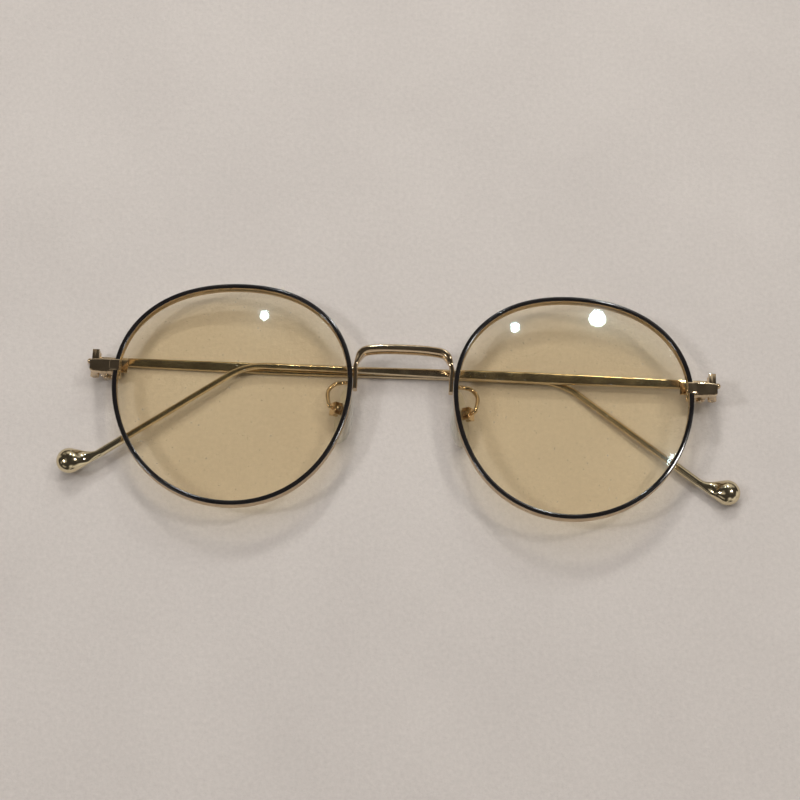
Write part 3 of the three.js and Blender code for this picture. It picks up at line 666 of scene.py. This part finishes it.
def build_tip(side, word):
    along = Vector((math.cos(BEND), -math.sin(BEND), 0))
    up = Vector((0, 0, 1))
    across = up.cross(along)
    start = temple_at(SLEEVE)
    places = [0.0, 0.08, 0.22] + [lerp(0.5, SLEEVE_END, i / 10) for i in range(11)]
    places += [lerp(SLEEVE_END, NECK_END, i / 16) for i in range(1, 17)]
    places += [BALL_S + BALL_R * math.sin(lerp(-0.75, 1.54, i / 30)) for i in range(1, 31)]
    stations = []
    for s in places:
        upper, lower, thick = tip_edges(s)
        ease = {0.0: 0.86, 0.08: 0.95}.get(s, 1.0)
        middle = start + along * s + across * ((upper + lower) / 2)
        outline = rounded((upper - lower) / 2 * ease, thick * ease, 2, 36)
        stations.append((middle, across, up, outline))
    verts, faces = loft(stations)
    verts, faces = mirror(verts, faces, -side)
    finish_mesh(
        f"{word}_tip_smooth", verts, faces, temple_frame(side), f"{word}_temple_assembly",
        f"{word}_temple_tip", [tip_gold],
    )


# ---------------------------------------------------------------- nose pads and their arms
PIVOT = Vector((13.8, -1.5, -3.9))
pad_z = Vector((-0.85, 0, -0.527)).normalized()
long_axis = Vector((-0.2, 0.98, 0))
pad_y = (long_axis - pad_z * long_axis.dot(pad_z)).normalized()
pad_x = pad_y.cross(pad_z)
PAD = Matrix((pad_x, pad_y, pad_z)).transposed().to_4x4()
PAD.translation = PIVOT
PAD_HALF_WIDTH, PAD_HALF_HEIGHT, PAD_NARROWING = 3.2, 6.2, 0.28
PAD_SEAT, PAD_DROP = 1.45, 0.7
PAD_SIDES = 72
ARM_R, ARM_ROOT_Y, ARM_Z = 0.45, 4.0, -4.4
BOX_BACK = 0.9


def build_pad(side, word):
    """A drop-shaped cushion, built up in layers of (height, share of the full outline)."""
    layers = [
        (0.0, 0.80), (0.04, 0.86), (0.14, 0.92), (0.3, 0.97), (0.5, 1.0), (0.75, 0.995), (0.95, 0.96),
        (1.12, 0.89), (1.27, 0.79), (1.38, 0.65), (1.45, 0.45), (1.49, 0.22), (1.5, 0.06),
    ]
    stations = []
    for z, grow in layers:
        ring = []
        for i in range(PAD_SIDES):
            a = i / PAD_SIDES * 2 * math.pi
            width = PAD_HALF_WIDTH * (1 - PAD_NARROWING * math.sin(a))
            ring.append((width * math.cos(a) * grow, PAD_HALF_HEIGHT * math.sin(a) * grow))
        centre = Vector((0, -PAD_DROP, PAD_SEAT + z))
        stations.append((centre, Vector((1, 0, 0)), Vector((0, 1, 0)), ring))
    verts, faces = loft(stations)
    verts = [PAD @ v for v in verts]
    verts, faces = mirror(verts, faces, side)
    finish_mesh(
        f"{word}_nose_pad_smooth", verts, faces, FRONT, f"{word}_nose_pad_assembly",
        f"{word}_nose_pad", [silicone], sharp=60,
    )


def build_arm(side, word):
    """A wire from the rim's back that loops round to the back of the pad box."""
    angle = math.pi - ARM_ROOT_Y / RIM_R
    root = rim_point(angle) - rim_outward(angle) * (RIM_FACE / 2)
    back = PIVOT - pad_z * (BOX_BACK + 0.1)
    points = [
        Vector((root.x, root.y, -RIM_DEPTH + 0.05)),
        Vector((root.x + 0.05, root.y + 0.1, -RIM_DEPTH - 0.8)),
        Vector((root.x + 1.3, root.y + 0.7, ARM_Z)),
        Vector((root.x + 3.3, root.y + 0.3, ARM_Z - 0.2)),
        Vector((root.x + 4.6, root.y - 1.7, ARM_Z + 0.4)),
        back - pad_z * 0.7 + Vector((0.1, 0.7, 0)),
        back,
    ]
    verts, faces = loft(tube(catmull(points, 90), ARM_R))
    verts, faces = mirror(verts, faces, side)
    finish_mesh(
        f"{word}_pad_arm_smooth", verts, faces, FRONT, "front", f"{word}_pad_arm", [gold]
    )


build_bridge()
for word, side in (("left", 1), ("right", -1)):
    build_rim(side, word)
    build_lens(side, word)
    build_endpiece(side, word)
    build_temple(side, word)
    build_tip(side, word)
    build_pad(side, word)
    build_arm(side, word)


# ---------------------------------------------------------------- small hardware keeps its CAD shape
EDGE, FINE_EDGE = 0.06, 0.03


def dress(node, material, width=EDGE):
    """Give a CAD node its material and, unless the width is 0, rounded edges."""
    obj = frame["nodes"][node]
    obj.data.materials.clear()
    obj.data.materials.append(material)
    weld = obj.modifiers.new("weld", "WELD")
    weld.merge_threshold = 1e-6
    if width:
        bevel = obj.modifiers.new("bevel", "BEVEL")
        bevel.width = width * MM
        bevel.segments = 2
        bevel.limit_method = "ANGLE"
        bevel.angle_limit = math.radians(40)
    obj.data.shade_smooth()


for word in ("left", "right"):
    for part in ("lock_upper", "lock_lower", "hinge_front_leaf", "hinge_temple_leaf", "pad_box"):
        dress(f"{word}_{part}", gold)
    dress(f"{word}_stud", gold, 0)
    for part in ("lock_screw", "hinge_screw", "pad_screw", "pad_insert"):
        dress(f"{word}_{part}", screw, FINE_EDGE)

# ---------------------------------------------------------------- floor, lights and camera
bpy.ops.mesh.primitive_plane_add(size=2.4, location=(0, 0, cad_box[0][2]))
floor = bpy.context.object
floor.name = "card_floor"
floor.data.materials.append(paper_material())

world = bpy.data.worlds.new("room")
bpy.context.scene.world = world
world.use_nodes = True
wn, wl = world.node_tree.nodes, world.node_tree.links
background = wn["Background"]
coords = wn.new("ShaderNodeTexCoord")
patches = wn.new("ShaderNodeTexNoise")
patches.inputs["Scale"].default_value = 1.7
patches.inputs["Detail"].default_value = 1.0
wl.new(coords.outputs["Generated"], patches.inputs["Vector"])
levels = wn.new("ShaderNodeValToRGB")
levels.color_ramp.elements[0].position = 0.5
levels.color_ramp.elements[0].color = (0.05, 0.045, 0.04, 1)
levels.color_ramp.elements[1].position = 0.68
levels.color_ramp.elements[1].color = (0.75, 0.7, 0.64, 1)
wl.new(patches.outputs["Fac"], levels.inputs[0])
wl.new(levels.outputs[0], background.inputs["Color"])
background.inputs["Strength"].default_value = 1.0


def lamp(name, place, size, power, colour, mirrored=True):
    """A round lamp aimed at the middle of the floor; mirrored lamps show in polished parts."""
    data = bpy.data.lights.new(name, "AREA")
    data.shape = "DISK"
    data.size = size
    data.energy = power
    data.color = colour
    obj = bpy.data.objects.new(name, data)
    bpy.context.scene.collection.objects.link(obj)
    obj.location = place
    obj.rotation_euler = (-place).to_track_quat("-Z", "Y").to_euler()
    obj.visible_glossy = mirrored


# The two small lamps are placed where their reflections in the lenses call for them.
lamp("lamp_left", FRONT @ Vector((-31.6, 313, 354)), 0.014, 0.08, (0.85, 0.95, 1.0))
lamp("lamp_right", FRONT @ Vector((108.5, 315.6, 319)), 0.027, 0.16, (0.95, 1.0, 0.97))
lamp("softbox", Vector((-0.1, 0.35, 1.3)), 1.3, 9.6, (1.0, 0.97, 0.95), False)
lamp("ceiling_left", Vector((-0.8, -0.12, 1.0)), 0.16, 2.9, (0.97, 0.98, 1.0))
lamp("ceiling_right", Vector((0.62, 0.25, 1.1)), 0.16, 2.3, (1.0, 0.97, 0.93))
lamp("ceiling_far", Vector((-0.15, 0.9, 1.0)), 0.16, 2.6, (1.0, 0.98, 0.96), False)

camera_data = bpy.data.cameras.new("camera")
camera = bpy.data.objects.new("camera", camera_data)
bpy.context.scene.collection.objects.link(camera)
bpy.context.scene.camera = camera
# The camera looks along a line tilted from the front's normal to the nose side. FIELD is
# the width it sees at the glasses, and the AIM values move it sideways without turning it.
TILT, YAW, ROLL = math.radians(21.5), math.radians(0.5), math.radians(2.5)
DISTANCE, FIELD, SENSOR = 400.0, 166.0, 36.0
AIM_RIGHT, AIM_UP = 0.5, 0.33
view = Vector((math.sin(YAW), -math.sin(TILT) * math.cos(YAW), math.cos(TILT) * math.cos(YAW)))
right = Vector((0, 1, 0)).cross(view).normalized()
up = view.cross(right)
right, up = (
    right * math.cos(ROLL) + up * math.sin(ROLL),
    up * math.cos(ROLL) - right * math.sin(ROLL),
)
place = view * DISTANCE - right * AIM_RIGHT - up * AIM_UP
lean = (FRONT @ Matrix.Scale(1 / MM, 4)).to_3x3()
turn = lean @ Matrix((right, up, view)).transposed()
camera.matrix_world = Matrix.Translation(FRONT @ place) @ turn.to_4x4()
camera_data.sensor_width = SENSOR
camera_data.lens = DISTANCE * SENSOR / FIELD
camera_data.clip_start = 0.01

bpy.context.scene.view_settings.view_transform = "Standard"
